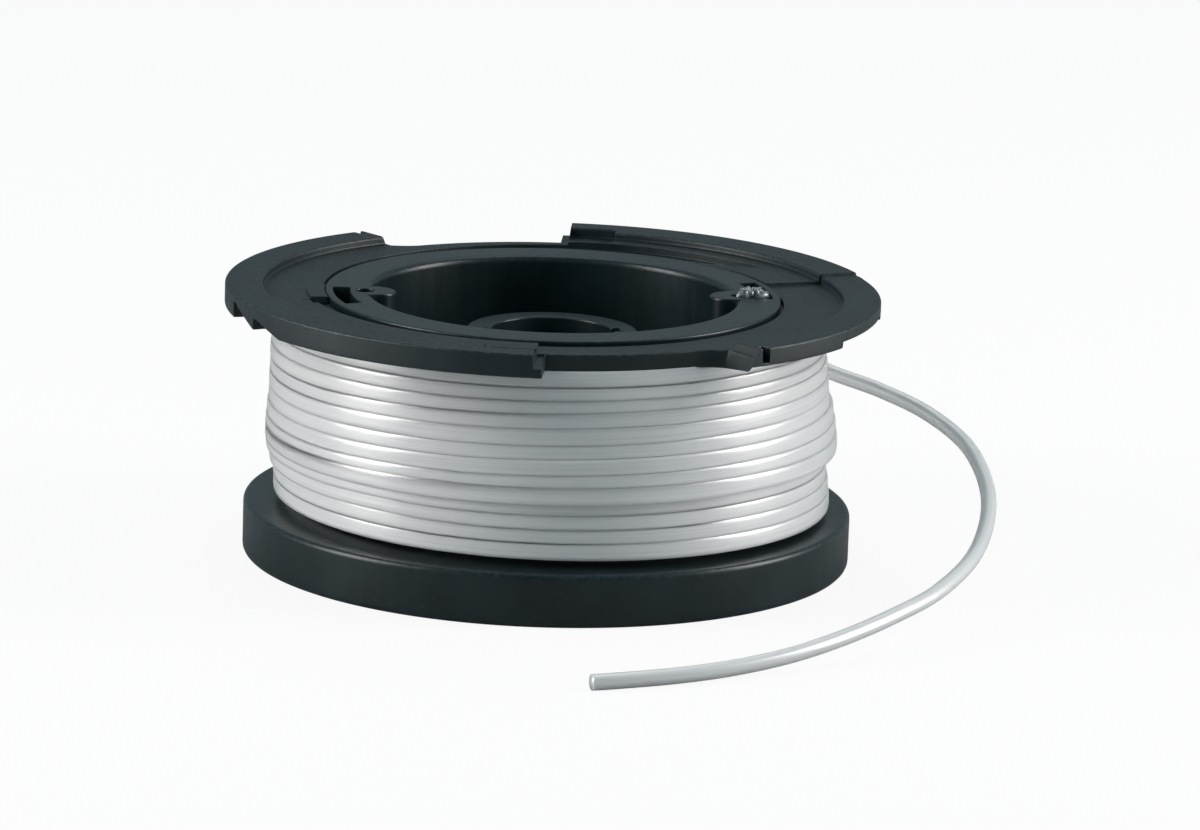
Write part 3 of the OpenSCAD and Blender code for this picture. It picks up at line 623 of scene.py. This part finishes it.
def mouldedFinishAndHighlightGroup(v):
    # spark-eroded grain, slow colour drift, pale abraded edges that are partly a painted edge
    # highlight, specks and fine upright lines: noise on the object's own place
    group = bpy.data.node_groups.new("moulded finish and edge highlight", "ShaderNodeTree")
    for name, value in (("Grain Scale", 6000.0), ("Grain Height", 0.02), ("Wear And Highlight Weight", 0.0)):
        socket = group.interface.new_socket(name, in_out="INPUT", socket_type="NodeSocketFloat")
        socket.default_value = value
    group.interface.new_socket("Normal", in_out="OUTPUT", socket_type="NodeSocketVector")
    for name in ("Drift", "Pale Wear And Highlight", "Specks", "Streaks"):
        group.interface.new_socket(name, in_out="OUTPUT", socket_type="NodeSocketFloat")
    n, link = group.nodes, group.links.new
    inside, out = n.new("NodeGroupInput"), n.new("NodeGroupOutput")
    place = n.new("ShaderNodeTexCoord")

    def noise(scale, detail):
        made = n.new("ShaderNodeTexNoise")
        made.inputs["Scale"].default_value = scale
        made.inputs["Detail"].default_value = detail
        link(place.outputs["Object"], made.inputs["Vector"])
        return made

    def spread(source, low, high):
        made = n.new("ShaderNodeMapRange")
        made.inputs["From Min"].default_value, made.inputs["From Max"].default_value = low, high
        link(source, made.inputs["Value"])
        return made.outputs["Result"]

    grain = noise(1, 3)
    link(inside.outputs["Grain Scale"], grain.inputs["Scale"])
    bump = n.new("ShaderNodeBump")
    bump.inputs["Distance"].default_value = v["grainDepth"]
    link(inside.outputs["Grain Height"], bump.inputs["Strength"])
    link(grain.outputs["Fac"], bump.inputs["Height"])
    link(bump.outputs["Normal"], out.inputs["Normal"])
    link(noise(v["drift"], 6).outputs["Fac"], out.inputs["Drift"])
    paleWearAndHighlight = n.new("ShaderNodeMath")
    paleWearAndHighlight.operation = "MULTIPLY"
    link(inside.outputs["Wear And Highlight Weight"], paleWearAndHighlight.inputs[0])
    link(spread(noise(v["paleWearAndHighlight"], 5).outputs["Fac"], *v["paleWearAndHighlightRange"]), paleWearAndHighlight.inputs[1])
    link(paleWearAndHighlight.outputs["Value"], out.inputs["Pale Wear And Highlight"])
    link(spread(noise(v["specks"], 2).outputs["Fac"], *v["specksRange"]), out.inputs["Specks"])
    upright = n.new("ShaderNodeMapping")
    upright.inputs["Scale"].default_value = v["streaks"]
    link(place.outputs["Object"], upright.inputs["Vector"])
    streak = noise(1, 4)
    link(upright.outputs["Vector"], streak.inputs["Vector"])
    link(spread(streak.outputs["Fac"], *v["streaksRange"]), out.inputs["Streaks"])
    return group


finishAndHighlightGroup = mouldedFinishAndHighlightGroup(mouldedMarks)


def mouldedPlastic(name, v):
    made, n, links = newMaterial(name)
    shader = n["Principled BSDF"]
    finish = n.new("ShaderNodeGroup")
    finish.node_tree = finishAndHighlightGroup
    finish.inputs["Grain Scale"].default_value = v["grainScale"]
    finish.inputs["Grain Height"].default_value = v["grainHeight"]
    wearAndHighlight = n.new("ShaderNodeAttribute")
    wearAndHighlight.attribute_name = "wearAndHighlight"
    links.new(wearAndHighlight.outputs["Fac"], finish.inputs["Wear And Highlight Weight"])
    tint = n.new("ShaderNodeValToRGB")
    tint.color_ramp.elements[0].position, tint.color_ramp.elements[1].position = 0.3, 0.7
    tint.color_ramp.elements[0].color = (*v["dark"], 1)
    tint.color_ramp.elements[1].color = (*v["light"], 1)
    links.new(finish.outputs["Drift"], tint.inputs["Fac"])
    last = tint.outputs["Color"]
    # pale colour on the rounded edges, partly abrasion and partly a painted edge highlight, and on
    # specks
    for mask, amount in (("Pale Wear And Highlight", v["paleWearAndHighlightShare"]), ("Specks", v["specksShare"])):
        share = n.new("ShaderNodeMath")
        share.operation = "MULTIPLY"
        share.inputs[1].default_value = amount
        links.new(finish.outputs[mask], share.inputs[0])
        mix = n.new("ShaderNodeMix")
        mix.data_type = "RGBA"
        mix.inputs["B"].default_value = (*v["paleWearAndHighlight"], 1)
        links.new(share.outputs["Value"], mix.inputs["Factor"])
        links.new(last, mix.inputs["A"])
        last = mix.outputs["Result"]
    links.new(last, shader.inputs["Base Color"])
    sheen = n.new("ShaderNodeMapRange")
    sheen.inputs["To Min"].default_value = v["rough"] - v["streaks"]
    sheen.inputs["To Max"].default_value = v["rough"] + v["streaks"]
    links.new(finish.outputs["Streaks"], sheen.inputs["Value"])
    links.new(sheen.outputs["Result"], shader.inputs["Roughness"])
    links.new(finish.outputs["Normal"], shader.inputs["Normal"])
    shader.inputs["IOR"].default_value = 1.5
    return made


bodyPlastic = {
    # the pale colour goes on specks and on abraded edges, where it is partly a painted edge highlight
    "dark": (0.004, 0.012, 0.015), "light": (0.009, 0.022, 0.027), "paleWearAndHighlight": (0.08, 0.12, 0.13),
    "paleWearAndHighlightShare": 0.4, "specksShare": 0.3,
    "rough": 0.34, "streaks": 0.025, "grainScale": 7000, "grainHeight": 0.15,
}
flangePlastic = {
    # the pale colour goes on specks and on abraded edges, where it is partly a painted edge highlight
    "dark": (0.004, 0.012, 0.016), "light": (0.009, 0.022, 0.027), "paleWearAndHighlight": (0.11, 0.15, 0.16),
    "paleWearAndHighlightShare": 0.4, "specksShare": 0.3,
    "rough": 0.46, "streaks": 0.05, "grainScale": 6500, "grainHeight": 0.45,
}
clearNylon = {
    # cloudy streaks: their colours, and how many come to a metre and round the line
    "dull": (0.78, 0.79, 0.79), "clear": (0.92, 0.92, 0.91), "stretch": (25, 26, 1),
    "greyEnd": (0.20, 0.23, 0.24), "greyEndTo": (0.009, 0.012),     # the end pressed into its hole is greyer, fading to the plain line between these lengths along it
    "rough": 0.25, "ior": 1.53, "specular": 1.0,
    "coat": 1.0, "coatIor": 1.8, "coatRough": 0.32,
    "depth": 0.0005,    # how far light spreads inside, metres
}


def nylon(name, v):
    made, n, links = newMaterial(name)
    shader = n["Principled BSDF"]
    place = n.new("ShaderNodeUVMap")
    place.uv_map = "along"
    stretch = n.new("ShaderNodeMapping")
    stretch.inputs["Scale"].default_value = v["stretch"]
    links.new(place.outputs["UV"], stretch.inputs["Vector"])
    cloud = n.new("ShaderNodeTexNoise")
    cloud.inputs["Scale"].default_value = 1
    cloud.inputs["Detail"].default_value = 3
    links.new(stretch.outputs["Vector"], cloud.inputs["Vector"])
    tint = n.new("ShaderNodeValToRGB")
    tint.color_ramp.elements[0].position, tint.color_ramp.elements[1].position = 0.3, 0.7
    tint.color_ramp.elements[0].color = (*v["dull"], 1)
    tint.color_ramp.elements[1].color = (*v["clear"], 1)
    links.new(cloud.outputs["Fac"], tint.inputs["Fac"])
    parts = n.new("ShaderNodeSeparateXYZ")
    links.new(place.outputs["UV"], parts.inputs["Vector"])
    # the first 9 to 12 mm of line, from the bottom of the anchor hole, goes over to a darker grey
    fade = n.new("ShaderNodeMapRange")
    fade.inputs["From Min"].default_value, fade.inputs["From Max"].default_value = v["greyEndTo"]
    links.new(parts.outputs["X"], fade.inputs["Value"])
    grey = n.new("ShaderNodeMix")
    grey.data_type = "RGBA"
    grey.inputs["A"].default_value = (*v["greyEnd"], 1)
    links.new(fade.outputs["Result"], grey.inputs["Factor"])
    links.new(tint.outputs["Color"], grey.inputs["B"])
    links.new(grey.outputs["Result"], shader.inputs["Base Color"])
    plain = {
        "Roughness": v["rough"], "IOR": v["ior"], "Specular IOR Level": v["specular"],
        "Coat Weight": v["coat"], "Coat IOR": v["coatIor"], "Coat Roughness": v["coatRough"],
        "Subsurface Weight": 1, "Subsurface Radius": (1.0, 1.0, 1.0),
        "Subsurface Scale": v["depth"],
    }
    for socket, value in plain.items():
        shader.inputs[socket].default_value = value
    return made


body.data.materials.append(mouldedPlastic("body_plastic", bodyPlastic))
flange.data.materials.append(mouldedPlastic("flange_plastic", flangePlastic))
nylonLine.data.materials.append(nylon("nylon", clearNylon))
print("stage: materials")


paleFloor = {
    "half": 3.0,                # half its side, metres
    "seen": 0.95,               # its colour to the camera
    "unseen": 0.4,              # and where it throws light back on the object
    "glow": 0.9,                # share of plain white in what the camera sees
}


def makeFloor(v):
    c = v["half"]
    mesh = bpy.data.meshes.new("floor")
    mesh.from_pydata([(-c, -c, 0), (c, -c, 0), (c, c, 0), (-c, c, 0)], [], [(0, 1, 2, 3)])
    floor = addObject("floor", mesh)
    made, n, links = newMaterial("pale_floor")
    shader = n["Principled BSDF"]
    shader.inputs["Roughness"].default_value = 0.9
    shader.inputs["Specular IOR Level"].default_value = 0
    glow = n.new("ShaderNodeEmission")
    glow.inputs["Color"].default_value = (1, 1, 1, 1)
    path = n.new("ShaderNodeLightPath")
    tone = n.new("ShaderNodeMix")
    tone.data_type = "RGBA"
    tone.inputs["A"].default_value = (v["unseen"], v["unseen"], v["unseen"], 1)
    tone.inputs["B"].default_value = (v["seen"], v["seen"], v["seen"], 1)
    links.new(path.outputs["Is Camera Ray"], tone.inputs["Factor"])
    links.new(tone.outputs["Result"], shader.inputs["Base Color"])
    share = n.new("ShaderNodeMath")
    share.operation = "MULTIPLY"
    share.inputs[1].default_value = v["glow"]
    links.new(path.outputs["Is Camera Ray"], share.inputs[0])
    mix = n.new("ShaderNodeMixShader")
    links.new(share.outputs["Value"], mix.inputs["Fac"])
    links.new(shader.outputs["BSDF"], mix.inputs[1])
    links.new(glow.outputs["Emission"], mix.inputs[2])
    links.new(mix.outputs["Shader"], n["Material Output"].inputs["Surface"])
    mesh.materials.append(made)


studio = {
    "front": 0.20,              # strength of the dark side of the studio, behind the camera, as light
    "frontGloss": 0.13,         # and as it mirrors in gloss
    "back": 0.38,               # and of the pale backdrop, as light on the object
    "backGloss": 0.27,          # and as it mirrors in gloss
    "rise": (-0.3, 0.8),        # the ray's Y where one goes over into the other
    "frontHue": (0.60, 0.88, 1.0), "backHue": (0.78, 0.94, 1.0),
}


def makeWorld(v):
    # strength goes smoothly with the ray's Y from the front's value to the backdrop's
    world = bpy.data.worlds.new("studio")
    bpy.context.scene.world = world
    world.use_nodes = True
    n, links = world.node_tree.nodes, world.node_tree.links
    ray = n.new("ShaderNodeTexCoord")
    parts = n.new("ShaderNodeSeparateXYZ")
    links.new(ray.outputs["Generated"], parts.inputs["Vector"])
    path = n.new("ShaderNodeLightPath")
    ends = []
    for side in ("front", "back"):
        strength = n.new("ShaderNodeMapRange")
        strength.inputs["To Min"].default_value = v[side]
        strength.inputs["To Max"].default_value = v[side + "Gloss"]
        links.new(path.outputs["Is Glossy Ray"], strength.inputs["Value"])
        ends.append(strength.outputs["Result"])
    rise = n.new("ShaderNodeMapRange")
    rise.interpolation_type = "SMOOTHSTEP"
    rise.inputs["From Min"].default_value, rise.inputs["From Max"].default_value = v["rise"]
    links.new(parts.outputs["Y"], rise.inputs["Value"])
    links.new(ends[0], rise.inputs["To Min"])
    links.new(ends[1], rise.inputs["To Max"])
    dim = n["Background"]
    hue = n.new("ShaderNodeValToRGB")
    hue.color_ramp.elements[0].color = (*v["frontHue"], 1)
    hue.color_ramp.elements[1].color = (*v["backHue"], 1)
    links.new(parts.outputs["Y"], hue.inputs["Fac"])
    links.new(hue.outputs["Color"], dim.inputs["Color"])
    links.new(rise.outputs["Result"], dim.inputs["Strength"])
    white = n.new("ShaderNodeBackground")
    white.inputs["Color"].default_value = (1, 1, 1, 1)
    seen = n.new("ShaderNodeMath")
    seen.operation = "MAXIMUM"
    links.new(path.outputs["Is Camera Ray"], seen.inputs[0])
    links.new(path.outputs["Is Transmission Ray"], seen.inputs[1])
    mix = n.new("ShaderNodeMixShader")
    links.new(seen.outputs["Value"], mix.inputs["Fac"])
    links.new(dim.outputs["Background"], mix.inputs[1])
    links.new(white.outputs["Background"], mix.inputs[2])
    links.new(mix.outputs["Shader"], n["World Output"].inputs["Surface"])


lamps = {
    # azimuth from the front, elevation, distance in metres, width, height, watts
    "left box": (-77, 13, 0.55, 0.24, 0.60, 3.3),
    "right box": (90, 14, 0.55, 0.24, 0.60, 3.5),
    "top box": (175, 62, 0.70, 0.40, 0.40, 0.5),
}
lampColour = (1.0, 0.97, 0.955)
lampAim = np.array([0, 0, 0.015])       # point that the lamps look at


def makeLamps():
    for name, (azimuth, elevation, distance, width, height, power) in lamps.items():
        data = bpy.data.lights.new(name, "AREA")
        data.shape = "RECTANGLE"
        data.size, data.size_y, data.energy = width, height, power
        data.color = lampColour
        lamp = bpy.data.objects.new(name, data)
        bpy.context.collection.objects.link(lamp)
        a, e = math.radians(azimuth), math.radians(elevation)
        toLamp = np.array([math.sin(a) * math.cos(e), -math.cos(a) * math.cos(e), math.sin(e)])
        right = np.cross([0, 0, 1], toLamp)
        right /= np.linalg.norm(right)
        turned = np.eye(4)
        turned[:3, 0], turned[:3, 1], turned[:3, 2] = right, np.cross(toLamp, right), toLamp
        turned[:3, 3] = lampAim + toLamp * distance
        lamp.matrix_world = Matrix(turned.tolist())


makeFloor(paleFloor)
makeWorld(studio)
makeLamps()
bpy.context.scene.view_settings.view_transform = "Standard"
print("stage: floor, world and lamps")
